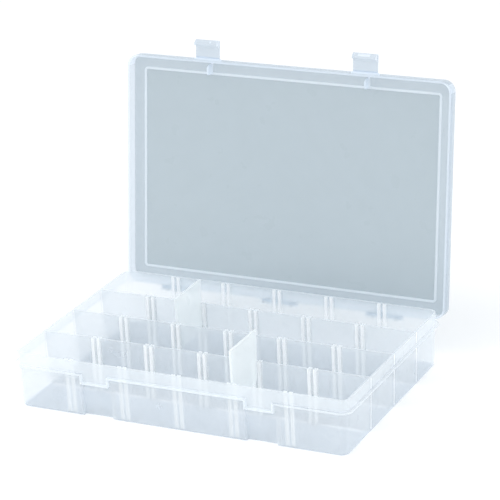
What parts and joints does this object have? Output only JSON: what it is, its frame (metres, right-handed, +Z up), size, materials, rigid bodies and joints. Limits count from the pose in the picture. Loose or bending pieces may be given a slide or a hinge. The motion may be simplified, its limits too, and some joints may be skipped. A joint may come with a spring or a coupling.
{
  "type": "tackle box",
  "caption": "Flat hinged-lid compartment box in clear plastic for fishing tackle, with rows of slotted walls, loose dividers and snap latches.",
  "frame": {"origin": "middle of the tray's underside, on the table", "axes": "+X to the right along the width, +Y to the back where the lid hinges are, +Z up"},
  "size_m": [0.3334, 0.2715, 0.2837],
  "materials": {
    "tray_plastic": "satin",
    "lid_plastic": "satin",
    "divider_plastic": "satin"
  },
  "bodies": {
    "tray": {"tray_floor": "tray_plastic", "tray_front_wall": "tray_plastic", "tray_back_wall": "tray_plastic", "tray_left_wall": "tray_plastic", "tray_right_wall": "tray_plastic", "row_wall_front": "tray_plastic", "row_wall_middle": "tray_plastic", "row_wall_back": "tray_plastic", "flange_front_left": "tray_plastic", "flange_front_middle": "tray_plastic", "flange_front_right": "tray_plastic", "flange_back": "tray_plastic", "flange_left": "tray_plastic", "flange_right": "tray_plastic", "catch_ledge_left": "tray_plastic", "catch_ledge_right": "tray_plastic", "hinge_hook_left": "tray_plastic", "hinge_hook_middle": "tray_plastic", "hinge_hook_right": "tray_plastic"},
    "lid": {"lid_panel": "lid_plastic", "lid_bead": "lid_plastic", "lid_skirt_front": "lid_plastic", "lid_skirt_back": "lid_plastic", "lid_skirt_left": "lid_plastic", "lid_skirt_right": "lid_plastic", "brace_lug_left": "lid_plastic", "brace_lug_right": "lid_plastic", "hinge_bar_left": "lid_plastic", "hinge_bar_middle": "lid_plastic", "hinge_bar_right": "lid_plastic"},
    "latch_left": {"latch_left": "lid_plastic"},
    "latch_right": {"latch_right": "lid_plastic"},
    "divider_front": {"divider_front": "divider_plastic"},
    "divider_back": {"divider_back": "divider_plastic"}
  },
  "joints": [
    {"name": "lid_hinge", "type": "hinge", "parent": "tray", "child": "lid", "pos_m": [0, 0.11425, 0.03917], "axis": [1, 0, 0], "range_deg": [0, 97.1]},
    {"name": "latch_left_bend", "type": "hinge", "parent": "lid", "child": "latch_left", "pos_m": [0, 0.14799, 0.26695], "axis": [1, 0, 0], "range_deg": [0, 90], "stiffness_Nm_per_rad": 0.003},
    {"name": "latch_right_bend", "type": "hinge", "parent": "lid", "child": "latch_right", "pos_m": [0, 0.14799, 0.26695], "axis": [1, 0, 0], "range_deg": [0, 90], "stiffness_Nm_per_rad": 0.003},
    {"name": "divider_front_slide", "type": "slide", "parent": "tray", "child": "divider_front", "axis": [0, 0, 1], "range_m": [-0.0316, 0]},
    {"name": "divider_back_slide", "type": "slide", "parent": "tray", "child": "divider_back", "axis": [0, 0, 1], "range_m": [-0.0251, 0]}
  ],
  "couplings": [
    {"joint": "divider_front_slide", "follows": "lid_hinge", "m_per_rad": -0.018587},
    {"joint": "divider_back_slide", "follows": "lid_hinge", "m_per_rad": -0.014752}
  ]
}
